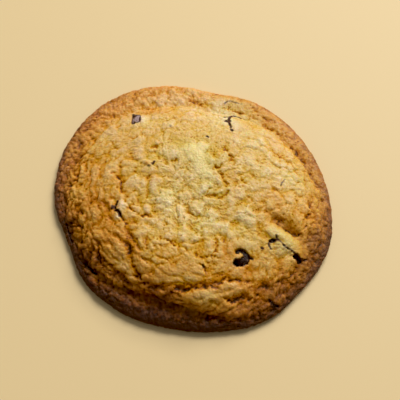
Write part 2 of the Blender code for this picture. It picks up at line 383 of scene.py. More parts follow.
# Cracks and folds: depth, half width, how much the left bank stands up, and the route.
CRACKS = (
    ("back fold, left", 0.8, 1.3, -0.3, [(-2.7, 42.7), (-1.1, 41.9), (1.5, 40.8), (3.8, 39.7), (5.8, 38.8)]),
    (
        "back fold", 1.5, 0.9, -0.7,
        [(10.5, 39.8), (12.8, 38.6), (15.1, 37.7), (18.1, 36.5), (20, 35.4), (24.5, 33.5)],
    ),
    ("back fold branch", 0.8, 0.6, 0.2, [(19, 38.5), (23.5, 38.5), (26, 34.5), (30.5, 33)]),
    ("right fold top", 0.65, 0.7, 0.2, [(26, 31), (29.5, 29.5), (33, 27), (36, 26), (37.5, 25)]),
    ("right fold", 0.50, 0.7, 0.2, [(34, 26), (36.5, 22), (39.5, 19), (42.5, 14), (44.5, 9), (47, 5)]),
    ("inner right fold", 0.45, 0.6, 0.2, [(28.5, 19), (32, 15.5), (36.5, 13.5), (39, 9), (41, 7.5)]),
    ("right edge crease", 0.7, 0.7, 0.2, [(44, 0.5), (43.5, -2.5), (43, -6), (42, -10)]),
    ("middle crack", 1.2, 0.5, 0.3, [(12.5, 11.5), (10, 9.5), (8.5, 8.5), (10.5, 5.5), (12, 3), (13, 0)]),
    ("middle crack end", 1.2, 0.5, 0.3, [(13, 0), (12.5, -1.5), (11, -3), (9, -4), (7.5, -2.5), (4, -3)]),
    ("middle crack top", 0.8, 0.5, 0.2, [(14, 11.5), (14.5, 14), (13, 16), (11, 17.5)]),
    ("middle nick", 0.7, 0.3, 0.1, [(4.6, -1.8), (5.6, -0.7), (7.4, 0.6)]),
    ("crown crack", 0.9, 0.5, 0.2, [(16.5, 6.5), (17.5, 4.5), (18.5, 3), (19.5, 2)]),
    ("left crack", 1.0, 0.6, -0.5, [(-31, 9), (-27.5, 5.5), (-26.5, 4), (-26, 0), (-25.5, -2.5)]),
    (
        "left crack end", 0.9, 0.6, -0.4,
        [(-25.5, -2.5), (-22.5, -7), (-19.5, -10), (-15, -10.5), (-13.5, -12)],
    ),
    (
        "lower left crack", 0.7, 0.6, -0.3,
        [(-25, -9), (-24.5, -12.5), (-23.5, -17), (-19.5, -21), (-18.5, -23.5)],
    ),
    ("inner left crack", 0.9, 0.5, -0.3, [(-16.5, 4.5), (-16, 0), (-16.5, -4)]),
    ("front crack", 1.2, 0.7, -0.3, [(-12.5, -18.5), (-7, -21.5), (-2.5, -23.5), (0, -23.5)]),
    ("front middle crack", 0.7, 0.5, 0.2, [(-10.5, -11.5), (-9, -13.5), (-8.5, -14.5)]),
    ("front inner crack", 0.8, 0.6, 0.2, [(-2.5, -7), (-1, -9.5), (1.5, -11), (6, -11)]),
    ("front loop", 0.9, 0.5, 0.3, [(8, -17.5), (8.5, -20), (8.5, -24.5), (7.5, -26), (3.5, -26.5), (0, -25)]),
    (
        "left front crease", 0.9, 0.9, 0.4,
        [(-23, -17), (-22, -24), (-20.8, -29), (-18.3, -33.2), (-15.9, -35.4), (-12, -37.6)],
    ),
    ("front nick", 0.8, 0.5, 0.1, [(0.5, -28), (4, -29.5), (4.5, -33), (6, -34)]),
    (
        "front roll", 0.9, 0.9, -1.2,
        [
            (-13.8, -36.2), (-10.5, -37.0), (-7.6, -37.5), (-2, -37.6),
            (3.7, -37.0), (7.1, -36.2), (10.5, -37.6),
        ],
    ),
    ("front roll top", 0.6, 0.6, -0.7, [(6.5, -35.6), (8.7, -35.4), (12, -34.2), (15.6, -34.0), (20, -34.6)]),
    (
        "left front fold", 0.3, 1.3, 1.3,
        [
            (-33, -23), (-29, -27.6), (-26.2, -29.9), (-23.2, -32.3),
            (-19.8, -34.8), (-16.2, -37.6), (-12, -39.4),
        ],
    ),
    ("front right wrinkle", 0.35, 0.6, -0.3, [(22, -37), (27.5, -35.3), (33.4, -31.9), (38, -28.6)]),
    ("front right outer wrinkle", 0.3, 0.6, -0.2, [(28.5, -38.4), (33, -35.6), (38, -31.8)]),
    ("front right inner wrinkle", 0.3, 0.6, 0.1, [(13, -39.5), (17.7, -40.1), (21.8, -39.4), (25.9, -36.8)]),
    ("front roll end", 0.5, 0.6, -0.3, [(10, -39.5), (14, -41), (17, -39.5), (20.5, -39)]),
    ("back left crack", 0.7, 0.5, 0.2, [(-18.5, 37.5), (-16, 38), (-10.5, 38.5)]),
    ("back left wrinkle", 0.7, 0.5, 0.2, [(-24.5, 22.5), (-22, 22.5), (-17, 24.5)]),
    ("left wrinkle", 0.7, 0.5, 0.2, [(-30.5, 23), (-29.5, 19), (-27, 17.5)]),
    ("inner wrinkle", 0.6, 0.5, 0.2, [(-16, 17.5), (-13.5, 18), (-11.5, 19.5)]),
    ("crown nick", 0.9, 0.35, 0.1, [(-8.5, 11.5), (-7, 11), (-6, 11.5), (-6.5, 13)]),
    ("dent lip", 0.7, 0.6, 0.4, [(28, -11), (31, -13), (37, -15.5), (40, -15)]),
)
RAGGED = 0.75

ragged = jostled(places, (2.4, RAGGED, 50), (0.9, 0.6 * RAGGED, 54))
gaping = clamp(0.45 + 1.3 * waves(places / 1.3, 57))
cracked = np.zeros_like(relief)
for _, depth, half_width, bank, route in CRACKS:
    away, side, place = along_route(ragged, route)
    closing = clamp(np.sin(math.pi * place)) ** 0.5
    valley = 0.5 * np.exp(-((away / (1.5 * half_width)) ** 1.6))
    slit = 0.7 * depth * gaping * np.exp(-((away / (0.55 * half_width)) ** 2))
    banked = np.tanh(side / 0.35) * np.exp(-away / (3.0 * half_width))
    relief = relief + closing * (0.4 * bank * banked - valley - slit)
    thin = 0.6 * min(half_width, 0.6)
    cracked = np.maximum(cracked, closing * gaping * clamp(depth) * np.exp(-((away / thin) ** 2)))

# Pinholes and openings. Steam left pinholes all over the crust. Over each chocolate chip the dough is
# thin or torn, and the chip shows through the opening.

PINHOLE_SPACING = 2.1
PINHOLE_DEPTH = 0.55
nearest, _, chance, _ = cells(flat / PINHOLE_SPACING, 61)
pinholes = (chance > 0.80 - 0.15 * on_crown) * (1 - rise(nearest * PINHOLE_SPACING, 0.10, 0.42))
relief = relief - PINHOLE_DEPTH * pinholes * (1 - 0.5 * on_skirt)

# Openings: the chip that shows, or a speck, then half width, depth, and the route of the tear.
OPENINGS = (
    ("chip_back_left", 0.24, 1.5, [(-22.7, 34.4), (-22.8, 32.4), (-22.9, 30.3)]),
    ("chip_back_left", 0.45, 1.5, [(-22.8, 30.4), (-22.6, 29.9)]),
    ("chip_back_left", 1.10, 0.55, [(-21.3, 33.4), (-20.9, 31.4)]),
    (
        "chip_back_right", 0.16, 0.8,
        [(12.1, 33.2), (12.8, 32.8), (13.8, 33.1), (14.4, 33.6), (15.4, 33.9), (16.3, 33.9)],
    ),
    ("chip_back_right", 0.20, 1.0, [(14.1, 32.7), (13.6, 31.2), (13.5, 30.0), (14.1, 28.6), (14.2, 27.0)]),
    ("chip_back_right", 0.32, 1.0, [(14.5, 25.9), (14.8, 25.3)]),
    ("chip_back_right", 0.30, 1.0, [(12.3, 30.2), (13.2, 30.3), (14.1, 30.4)]),
    ("chip_back_right", 0.09, 0.6, [(16.3, 33.9), (17.5, 33.5), (18.6, 33.2), (19.8, 33.0), (20.8, 32.5)]),
    ("chip_back_rim", 0.10, 0.3, [(12.2, 40.6), (13.3, 41.4), (14.6, 41.8), (16.4, 41.2), (18.5, 40.5)]),
    ("chip_left", 0.26, 1.4, [(-27.0, -4.5), (-27.4, -5.6), (-27.8, -7.0)]),
    ("chip_left", 0.34, 1.5, [(-27.6, -7.9), (-26.6, -8.3), (-26.0, -9.2), (-25.7, -10.4)]),
    ("chip_left", 0.16, 0.8, [(-28.6, -6.2), (-28.9, -7.2)]),
    ("chip_front", 0.52, 2.0, [(15.8, -24.2), (16.6, -23.3), (17.6, -23.5)]),
    ("chip_front", 0.66, 2.0, [(17.8, -23.8), (18.8, -24.8), (19.5, -25.7)]),
    ("chip_front", 0.30, 1.4, [(20.1, -25.9), (21.3, -26.2)]),
    ("chip_front", 1.25, 2.2, [(18.6, -26.7), (17.2, -27.7), (15.6, -27.8)]),
    ("chip_right_upper", 0.50, 1.6, [(27.8, -19.3), (28.7, -19.1), (29.4, -19.0)]),
    ("chip_right_upper", 0.18, 1.0, [(29.8, -17.0), (30.1, -18.2)]),
    ("chip_right_upper", 0.15, 0.9, [(30.2, -18.4), (31.3, -19.1), (32.4, -20.3)]),
    ("chip_right_lower", 0.09, 0.7, [(32.4, -20.5), (34.1, -21.5), (35.6, -22.2), (36.6, -23.2)]),
    ("chip_right_lower", 0.90, 1.5, [(37.0, -24.0), (37.5, -24.6), (38.0, -25.2)]),
    ("chip_right_lower", 0.10, 0.7, [(38.8, -24.6), (39.8, -24.8), (41.0, -24.4)]),
    ("chip_right_upper", 0.16, 0.7, [(27.2, -20.2), (27.2, -21.2), (27.9, -22.2)]),
    ("chip_right_middle", 0.08, 0.35, [(33.8, 5.2), (33.3, 4.6)]),
    ("chip_right_middle", 0.08, 0.35, [(32.9, 4.1), (32.6, 3.6)]),
    ("chip_right_middle", 0.08, 0.35, [(32.4, 3.1), (32.1, 2.4)]),
    ("chip_middle", 0.09, 1.2, [(-14.0, 11.4), (-14.3, 10.7), (-14.7, 10.2)]),
    ("chip_middle", 0.04, 0.4, [(-16.2, 9.4), (-15.6, 9.2)]),
    ("chip_left_rim", 0.28, 0.8, [(-46.3, -9.6), (-45.6, -12.2), (-44.6, -15.0), (-43.8, -17.2)]),
    ("chip_fold", 0.36, 0.6, [(-39.2, -24.9), (-36.9, -26.9), (-34.4, -29.0)]),
    ("chip_front_rim", 0.28, 0.8, [(27.0, -39.5), (28.7, -40.8), (30.4, -41.1)]),
    ("chip_front_rim", 0.30, 0.6, [(27.9, -40.2), (28.0, -41.2)]),
    ("speck", 0.20, 0.27, [(-8.5, 27.2), (-8.2, 27.0)]),
    ("speck", 0.30, 0.9, [(3.8, -29.4), (4.0, -29.8)]),
    ("speck", 0.20, 0.6, [(5.3, 22.1), (5.7, 21.9)]),
    ("speck", 0.30, 0.8, [(24.5, -22.0), (24.7, -22.2)]),
)
TORN = 0.16
FRAYED = 0.26
STAINING_DEPTH = 0.42
STAIN_SPREAD = 0.7

torn = jostled(places, (1.8, TORN, 70), (0.8, 0.6 * TORN, 74))
fray = FRAYED * waves(places / 1.1, 78) + FRAYED * waves(places / 0.6, 79)
stain = np.zeros_like(relief)
sunk = np.zeros_like(relief)
for _, half_width, depth, route in OPENINGS:
    away, _, _ = along_route(torn, route)
    hole = 1 - rise(away + fray * (0.85 + 0.6 * half_width), half_width - 0.28, half_width + 0.12)
    sunk = np.maximum(sunk, depth * hole)
    smeared = 1 - rise(away, half_width, half_width + STAIN_SPREAD)
    stain = np.maximum(stain, clamp(depth / STAINING_DEPTH) * smeared)

# Smooth dough pushed up, mostly round the chips: height, half width, and its route.
HEAPS = (
    ("left chip, right side", 0.7, 1.4, [(-25.6, -5.0), (-24.9, -5.9)]),
    ("left chip, left side", 0.5, 0.8, [(-28.9, -4.4), (-29.0, -6.4)]),
    ("left chip, below", 0.5, 0.7, [(-27.0, -9.4), (-26.7, -9.9)]),
    ("front chip, inside", 0.5, 1.0, [(16.0, -25.9), (16.7, -25.4)]),
    ("front chip, above", 0.5, 1.8, [(16.5, -20.6), (19.5, -21.4)]),
    ("front chip, left", 0.4, 1.2, [(13.4, -22.4), (13.2, -24.0)]),
    ("middle chip", 0.8, 1.1, [(-16.4, 10.7), (-16.1, 10.3)]),
    ("back left chip", 0.4, 1.4, [(-19.6, 32.0), (-18.8, 31.0)]),
    ("back right chip, right side", 0.5, 2.6, [(17.0, 30.0), (17.6, 27.6)]),
    ("back right chip, left side", 0.4, 1.0, [(12.3, 31.7), (12.7, 31.5)]),
    ("wide flap by the right chips", 0.2, 2.8, [(28.4, -14.2), (30.8, -15.0)]),
    (
        "narrow flap by the right chips", 0.2, 2.0,
        [(30.8, -15.0), (34.0, -17.6), (37.0, -19.6), (39.0, -22.2)],
    ),
    ("front roll", 0.5, 1.5, [(-1.5, -39.8), (2.7, -39.1), (5.4, -38.8), (9.0, -39.8)]),
    ("front roll, right", 0.5, 1.1, [(12.0, -42.0), (14.0, -42.2)]),
    ("small roll", 0.35, 1.1, [(10.5, -36.8), (13.1, -35.9), (15.5, -36.2)]),
    ("plate over the roll", 0.3, 3.2, [(-10.0, -32.5), (-3.0, -32.0), (1.5, -32.5)]),
    ("pale bump on the crown", 0.1, 5.5, [(-1.5, 15.0), (3.5, 7.5)]),
    ("pale bump on the crown, back end", 0.35, 2.8, [(-0.4, 15.2), (1.6, 13.4)]),
    ("pale bump on the crown, front end", 0.3, 2.2, [(1.8, 8.2), (4.2, 6.4)]),
)
for _, heap, half_width, route in HEAPS:
    away, _, _ = along_route(ragged, route)
    cover = np.exp(-((away / half_width) ** 3))
    relief = relief * (1 - 0.5 * cover) + heap * cover

# The relief dies away round the edge and is gentler at the back; its deepest creases are eased.
CALM_SIDE = 80
EASED_DEPTH = 0.9
DEEPEST = 1.6
TALLEST = 0.95
calm = (1 - 0.75 * rise(turned, 0.6, 1.5)) * (1 - 0.45 * rise(share, 0.94, 0.99))
calm = calm * (1 - 0.25 * clamp(facing(CALM_SIDE)) * rise(share, 0.3, 0.5))
relief = np.where(relief < -EASED_DEPTH, -EASED_DEPTH + 0.5 * (relief + EASED_DEPTH), relief)
relief = np.clip(relief, -DEEPEST, TALLEST) * calm
crest = 1.1 * (relief - smoothed(relief, 400)) + 0.4 * (relief - smoothed(relief, 6))
places = places + outward * (relief - sunk)[..., None]
places[..., 2] = np.clip(places[..., 2], 0.0, None)

# The dough's mesh. The crust and its rounded edge come from the net; the underside is flat, where it
# lay on the sheet, with shallow dents.

MM = 0.001
UNDERSIDE_STEP = 1.5
UNDERSIDE_JITTER = 0.4
UNDERSIDE_MARGIN = 1.2
UNDERSIDE_REACH = 54
DENT_HEIGHT = 0.12
DENT_SIZE = 2.3

side_count = 2 * (RINGS + EDGE_RINGS) + 1
numbers = np.arange(side_count * side_count).reshape(side_count, side_count)
quads = np.stack((numbers[:-1, :-1], numbers[:-1, 1:], numbers[1:, 1:], numbers[1:, :-1]), axis=-1)
foot_loop = np.concatenate((numbers[0, :-1], numbers[:-1, -1], numbers[-1, :0:-1], numbers[:0:-1, 0]))
points = places.reshape(-1, 3)
foot = points[foot_loop]

steps = np.arange(-UNDERSIDE_REACH, UNDERSIDE_REACH, UNDERSIDE_STEP)
base_x, base_y = np.meshgrid(steps, steps)
base_x = base_x + dice.uniform(-UNDERSIDE_JITTER, UNDERSIDE_JITTER, base_x.shape)
base_y = base_y + dice.uniform(-UNDERSIDE_JITTER, UNDERSIDE_JITTER, base_y.shape)
base_edge = around(EDGE_RADII, np.arctan2(base_y, base_x)) - EDGE_SLACK - FOOT_INSET
within = np.hypot(base_x, base_y) < base_edge - UNDERSIDE_MARGIN
base = np.stack((base_x[within], base_y[within]), axis=-1)
outline = [Vector(p) for p in np.vstack((foot[:, :2], base))]
rim_edges = [(k, (k + 1) % len(foot)) for k in range(len(foot))]
flat_points, _, triangles, origins, _, _ = geometry.delaunay_2d_cdt(outline, rim_edges, [], 1, 1e-6)
base_points = np.array([(p.x, p.y, 0.0) for p in flat_points])
base_points[:, 2] = DENT_HEIGHT * clamp(waves(base_points / DENT_SIZE, 80) + 0.4)

# Points of the underside that lie on the foot are the net's own, so that the two close up.
is_foot = np.array([min(found) < len(foot) for found in origins])
index = np.where(is_foot, 0, len(points) + np.cumsum(~is_foot) - 1)
for k, found in enumerate(origins):
    if is_foot[k]:
        index[k] = foot_loop[min(found)]
underside = [tuple(int(index[k]) for k in reversed(triangle)) for triangle in triangles]
all_points = np.vstack((points, base_points[~is_foot])) * MM
faces = quads.reshape(-1, 4).tolist() + underside

crust_mesh = bpy.data.meshes.new("dough_crust")
crust_mesh.from_pydata(all_points.tolist(), [], faces)
crust_mesh.shade_smooth()
crust = bpy.data.objects.new("dough_crust", crust_mesh)
bpy.context.scene.collection.objects.link(crust)


def paint(name, grid, below):
    """One number for each point of the mesh: the net's own, then the same one all over the underside."""
    layer = crust_mesh.attributes.new(name, "FLOAT", "POINT")
    values = np.concatenate((grid.ravel(), np.full(len(all_points) - grid.size, below)))
    layer.data.foreach_set("value", values.astype(np.float32))


# The crust's colours. The thin edge baked darkest and the crown stayed pale. Creases and hollows keep a
# deeper amber than the crests, and folds and the side away from the window are darker. That is painted
# shade, mixed into the bake's browning. The skirt at the back is paler and greyer.

# How brown the rim and the slope are all round, from 0, unbaked, to 1, nearly burnt. The values also hold
# painted shade: part of their darkness, most of all on the front and left away from the window, is shade.
RIM_BROWNING_AND_SHADE = (0.68, 0.57, 0.49, 0.34, 0.53, 0.68, 0.79, 0.87, 0.98, 0.98, 0.84, 0.82)
SLOPE_BROWNING_AND_SHADE = (0.40, 0.30, 0.28, 0.27, 0.34, 0.42, 0.50, 0.56, 0.54, 0.50, 0.46, 0.44)
CROWN_BROWNING = 0.22
EDGE_BROWNING = 0.10
# Darker at the outer edge on the steep side, and painted shade on the fold's wall under the lip.
STEEP_EDGE_DARKENING = 0.34
WALL_SHADE = 0.12
# Painted shade in the cracks.
CRACK_SHADE = 0.45
UNDERSIDE_BROWNING = 0.72
# The side towards which the back edge turns paler and greyer.
PALING_SIDE = 75
USUAL_GREEN = 0.30
# Patches, as the swells above. In the first table the amount is how much paler the patch is, or how
# much browner where it is below zero; then how much creamier, and how much greener. Besides real pale
# and golden dough, the first table paints shade into the hollow behind the flap and into the folds and
# creases. It paints light onto the rolls, plates and ridges at the front and onto the shaded skirt under
# the left front fold. Under that fold and under the front roll the creamier patches paint the greyer tone
# of the shade.
BAKE_AND_SHADE_PATCHES = (
    ("middle of the crown", 0.26, (0.8, 14.6), 5.0, 5.5, 20.0),
    ("middle of the crown, front end", 0.22, (4.0, 6.5), 3.2, 3.6),
    ("golden dough right of the middle", -0.14, (9.5, 13.0), 3.0, 3.4),
    ("golden dough, left", -0.08, (-14.5, 3.5), 5.0, 4.0),
    ("golden dough, front", -0.06, (8.0, -20.0), 8.0, 5.0),
    ("left of the crown", 0.10, (-12.5, 16.0), 4.5, 4.5),
    ("back right", 0.22, (16.5, 30.0), 7.0, 4.5, -25.0),
    ("back rim chip", 0.24, (11.5, 40.0), 6.0, 2.2, -10.0),
    ("right", 0.06, (26.0, 8.0), 10.0, 9.0),
    ("round the right middle chip", 0.20, (33.5, 5.0), 4.5, 6.5),
    ("flap by the right chips", 0.14, (31.5, -16.5), 7.0, 2.4, -35.0),
    ("below the right chips", 0.10, (33.0, -22.5), 3.5, 2.6),
    ("hollow behind the flap", -0.30, (31.5, -12.0), 7.0, 3.0, -35.0),
    ("below the right chips, rim", 0.12, (38.5, -31.0), 6.0, 4.0, 50.0),
    ("fold at the left chip", -0.14, (-36.0, -24.5), 6.0, 2.6, -52.0),
    ("left chip, right side", 0.17, (-24.9, -6.0), 1.7, 2.1),
    ("left chip, crumb above", 0.20, (-28.0, -3.9), 0.9, 0.8),
    ("left chip, crumb below", 0.25, (-26.8, -10.6), 1.0, 1.1),
    ("back left chip", 0.24, (-18.4, 31.2), 4.5, 2.8),
    ("back left", 0.10, (-31.0, 25.0), 5.0, 5.0),
    ("front of the crown", 0.06, (2.0, -17.0), 18.0, 8.0),
    ("below the left front fold", -0.08, (-23.5, -34.0), 13.0, 2.6, -42.0),
    ("end of the left front fold", -0.12, (-8.0, -39.8), 6.0, 2.2, -10.0),
    ("crease inside the fold", -0.10, (-18.5, -27.0), 11.0, 1.6, -62.0),
    ("behind the back right chip", 0.14, (8.5, 36.5), 5.0, 2.6),
    ("front of the crown, left", 0.11, (-3.0, -6.0), 13.0, 9.0),
    ("right of the crown", -0.06, (15.0, 2.0), 5.0, 7.0),
    ("front roll", 0.14, (4.0, -39.2), 5.5, 1.4, 4.0),
    ("small roll", 0.08, (13.0, -36.0), 3.0, 1.2),
    ("ridge of the left front fold", 0.10, (-21.5, -31.5), 9.0, 1.6, -44.0),
    ("crease inside the fold, front end", -0.16, (-16.5, -34.8), 6.0, 1.5, -36.0),
    ("plate left of the front crack", 0.10, (-14.0, -26.5), 4.0, 4.0),
    ("ridge of the left front fold, top", 0.06, (-21.0, -29.5), 3.0, 3.0),
    ("round the front chip", -0.12, (13.5, -22.5), 4.5, 4.0),
    ("right, front", -0.07, (31.0, 0.5), 5.0, 3.0),
    ("right of the front chip", -0.06, (19.0, -28.5), 4.0, 3.0),
    ("left edge, dark", -0.12, (-44.5, -9.5), 2.0, 3.0),
    ("left edge, back", 0.10, (-44.0, -3.0), 3.0, 2.6),
    ("front roll, right end", 0.10, (8.0, -41.6), 5.0, 1.8),
    ("crease behind the front roll", -0.14, (7.0, -36.2), 3.5, 1.1),
    ("right edge", -0.12, (43.5, -17.0), 3.0, 7.0, -20.0),
    ("right slope", -0.07, (38.5, -19.0), 3.0, 9.0),
    ("right of the front of the crown", 0.08, (0.5, -11.0), 6.0, 5.0),
    ("plate inside the left front fold", 0.10, (-25.5, -27.6), 3.0, 2.4),
    ("plate behind the front roll", 0.16, (-3.0, -34.0), 5.0, 2.2),
    ("above the back rim chip", -0.10, (8.2, 39.8), 3.0, 1.8),
    ("skirt below the left front fold", 0.07, (-25.5, -36.0), 12.0, 1.8, -32.0),
    ("skirt below the left front fold, end", 0.07, (-18.0, -40.1), 3.0, 1.5, -25.0),
    ("skirt, outer edge", -0.14, (-23.0, -42.0), 12.0, 1.8, -30.0),
    ("front right slope", -0.14, (25.0, -35.6), 8.0, 2.4),
    ("behind the back left chip", -0.20, (-14.5, 35.8), 7.0, 2.2),
    ("in the back fold", -0.10, (17.0, 37.0), 8.0, 1.3, -26.0),
    ("in the back fold, left", -0.08, (1.5, 40.6), 5.0, 1.3, -24.0),
    ("right of the back right chip", -0.10, (16.0, 26.0), 6.0, 3.0, 35.0),
    ("left front skirt", 0.06, (-36.5, -22.5), 2.4, 8.0, 30.0),
    ("left front skirt, light spot", 0.14, (-34.0, -30.2), 2.6, 3.0, 30.0),
    ("skirt under the front fold, light spot", 0.12, (-16.0, -38.8), 2.4, 1.5, -20.0),
    ("front roll, left end", -0.14, (-7.5, -38.0), 3.2, 1.8, -10.0),
    ("skirt left of the front, outer edge", -0.12, (-11.0, -42.8), 3.0, 1.6, -20.0),
    ("front skirt, outer edge", 0.05, (7.0, -45.2), 10.0, 1.4, 4.0),
    ("behind the back right fold", -0.12, (19.5, 30.5), 3.5, 2.5, -30.0),
    ("right of the middle", -0.07, (11.0, 2.0), 6.0, 6.0),
    ("left of the middle", 0.08, (-8.0, 0.0), 4.0, 7.0),
    ("right slope, further back", -0.08, (31.0, -3.0), 4.0, 3.5),
    ("behind the right folds", -0.22, (19.0, 30.0), 6.0, 3.0, -30.0),
    ("left of the crown, front", 0.07, (-17.0, -2.0), 4.0, 4.0),
    ("middle chip", -0.30, (-16.5, 10.6), 1.2, 1.1),
    ("left edge", 0.16, (-41.0, -13.5), 2.8, 5.0),
    ("left slope", -0.08, (-33.5, -5.0), 3.5, 3.0),
)
CREAMY_PATCHES = (
    ("round the back chips", 0.24, (9.0, 33.0), 12.0, 7.0),
    ("back right", 0.24, (20.0, 21.0), 7.0, 7.0),
    ("right", 0.22, (36.0, 4.0), 8.0, 9.0),
    ("right of the crown", 0.20, (22.0, -2.0), 4.0, 4.0),
    ("back left", 0.22, (-24.0, 29.0), 13.0, 5.0, 30.0),
    ("right chips", 0.40, (34.0, -23.0), 5.0, 5.0),
    ("front of the crown", -0.20, (-2.0, -10.0), 9.0, 8.0),
    ("left of the crown", -0.12, (-10.5, 0.0), 3.0, 5.0),
    ("over the front roll", -0.22, (1.0, -33.5), 18.0, 3.5),
    # Painted shade: the greyer tone of the shade under the left front fold.
    ("under the left front fold", 0.45, (-24.0, -33.8), 14.0, 2.6, -28.0),
    ("behind the right folds", 0.22, (30.0, 22.0), 5.0, 4.0, -45.0),
    ("inside the left crack", -0.20, (-10.0, -2.2), 2.5, 3.0),
    # Painted shade: the greyer tone of the shade under the front roll.
    ("under the front roll", 0.55, (2.0, -42.2), 13.0, 2.0, 3.0),
    ("right front", 0.40, (36.0, -21.0), 4.0, 4.5),
    ("flap by the right chips", 0.25, (30.0, -16.0), 4.0, 3.0),
    ("right of the front of the crown", 0.35, (16.5, -12.0), 3.5, 3.0),
    ("in front of the front chip", 0.25, (14.0, -29.5), 14.0, 2.5),
    ("left", 0.25, (-40.0, 3.0), 4.5, 7.0),
    ("behind the left chip", 0.25, (-24.0, 19.0), 3.0, 4.0),
    ("left chip, right side", 0.22, (-24.9, -6.0), 1.8, 2.2),
    ("left chip, crumb above", 0.30, (-28.0, -3.9), 1.0, 0.9),
    ("left chip, crumb below", 0.40, (-26.8, -10.6), 1.1, 1.2),
    ("far left back", 0.25, (-34.0, 25.5), 3.5, 3.0),
    ("left of the pale bump", 0.30, (-7.0, 9.0), 2.5, 5.0),
    ("right of the pale bump", -0.30, (9.0, 13.0), 3.0, 2.5),
    ("middle chip", -0.30, (-14.5, 8.5), 2.5, 4.5),
    ("front of the crown, left", -0.25, (-1.5, -17.0), 4.0, 3.0),
    ("in front of the nick", -0.22, (7.5, -7.5), 4.0, 3.0),
    ("right rim", 0.30, (43.0, 2.0), 4.0, 9.0),
    ("back right rim", 0.25, (19.0, 38.0), 7.0, 4.0, -28.0),
    ("right of the back chips", 0.28, (18.0, 28.0), 8.0, 5.0, -30.0),
    ("back rim", 0.25, (-10.0, 42.5), 7.0, 3.0, 10.0),
    ("above the back rim chip", -0.08, (8.0, 39.4), 3.5, 2.0, -20.0),
)
GREEN_PATCHES = (
    ("middle", 0.30, (6.0, 2.0), 17.0, 24.0),
    ("pale bump", 0.22, (5.0, 10.0), 5.5, 6.5),
    ("round the front chip", 0.22, (22.0, -19.0), 12.0, 6.0),
    ("flap by the right chips", 0.30, (33.0, -14.0), 7.0, 5.0, -35.0),
    ("back left rim", -0.35, (-20.0, 38.0), 24.0, 7.0, 15.0),
    ("left", -0.12, (-33.0, 8.0), 9.0, 16.0),
    ("left chip", -0.20, (-26.0, -5.5), 4.0, 4.0),
    ("right rim", 0.40, (45.0, 4.0), 6.0, 22.0, 8.0),
    ("back right rim", 0.22, (24.0, 40.0), 18.0, 6.0, -32.0),
    ("right front rim", 0.35, (38.0, -22.0), 8.0, 9.0, -35.0),
    ("right of the back chips", 0.18, (24.0, 22.0), 14.0, 9.0, -45.0),
    ("left front rim", 0.25, (-38.0, -20.0), 5.0, 10.0, 28.0),
)
# Browning with painted shade in it, from the rim and slope tables, the steep side, the patches and the
# cracks.
rim_brown_and_shade = around(RIM_BROWNING_AND_SHADE, angle)
slope_brown_and_shade = around(SLOPE_BROWNING_AND_SHADE, angle)
browning_and_shade = CROWN_BROWNING + (slope_brown_and_shade - CROWN_BROWNING) * rise(share, 0.15, 0.80)
browning_and_shade = browning_and_shade + (rim_brown_and_shade - slope_brown_and_shade) * rise(share, 0.72, 1.0)
# Darker on the steep side: painted shade on the fold's wall under the lip, and darker still at the outer
# edge.
wall = rise(share / reach, 0.95, 1.0) * (1 - 0.6 * rise(share / reach, 1.0, 1.06))
at_edge = rise(share, 0.94, 1.0)
browning_and_shade = browning_and_shade + steepness * (WALL_SHADE * wall + STEEP_EDGE_DARKENING * at_edge)
browning_and_shade = browning_and_shade + EDGE_BROWNING * at_edge
for _, *patch in BAKE_AND_SHADE_PATCHES:
    browning_and_shade = browning_and_shade - swell(places, *patch)
# Painted shade: browner down in the cracks.
browning_and_shade = browning_and_shade + CRACK_SHADE * cracked
for _, *patch in CREAMY_PATCHES:
    crest = crest + swell(places, *patch)
greenness = np.full_like(browning_and_shade, USUAL_GREEN)
for _, *patch in GREEN_PATCHES:
    greenness = greenness + swell(places, *patch)

# Laid on the mesh: the browning with its painted light and shade, the crests, the chocolate stains, the paler
# back edge and the tint.
paint("browning_and_shade", browning_and_shade, UNDERSIDE_BROWNING)
paint("crest", 0.5 + crest, 0.5)
paint("stain", stain, 0.0)
paint("back_paling", rise(share, 0.80, 0.95) * clamp(0.45 + 0.7 * facing(PALING_SIDE)), 0.0)
paint("greenness", greenness, USUAL_GREEN)


def add_node(tree, kind, **values):
    """A node of the kind, with its own settings and its inputs' fixed values set by name."""
    node = tree.nodes.new(kind)
    for name, value in values.items():
        if hasattr(node, name):
            setattr(node, name, value)
        else:
            node.inputs[name.replace("_", " ")].default_value = value
    return node


def feed(tree, sockets, values):
    """Each socket gets its value: the output of another node, or a fixed number or colour."""
    for socket, value in zip(sockets, values):
        if isinstance(value, bpy.types.NodeSocket):
            tree.links.new(value, socket)
        else:
            socket.default_value = value


def calculate(tree, operation, first, second):
    """Two numbers added, multiplied or subtracted."""
    node = add_node(tree, "ShaderNodeMath", operation=operation)
    feed(tree, node.inputs, (first, second))
    return node.outputs[0]


def ranged(tree, value, low, high):
    """0 where the value is low and 1 where it is high, evenly between them."""
    node = add_node(tree, "ShaderNodeMapRange", From_Min=low, From_Max=high)
    feed(tree, [node.inputs["Value"]], [value])
    return node.outputs["Result"]


# The sockets of a mix node that hold its two colours and their mixture.
FIRST_COLOUR = 6
SECOND_COLOUR = 7
MIXED_COLOUR = 2


def mixed(tree, amount, first, second, blend="MIX"):
    """The first colour with the second mixed in, or laid over it the way that blend says."""
    node = add_node(tree, "ShaderNodeMix", data_type="RGBA", blend_type=blend)
    sockets = (node.inputs["Factor"], node.inputs[FIRST_COLOUR], node.inputs[SECOND_COLOUR])
    feed(tree, sockets, (amount, first, second))
    return node.outputs[MIXED_COLOUR]


def srgb(red, green, blue):
    """A colour given as on a paint chart, 0 to 255, turned into linear light."""
    shares = [value / 255 for value in (red, green, blue)]
    return [s / 12.92 if s <= 0.04045 else ((s + 0.055) / 1.055) ** 2.4 for s in shares] + [1.0]


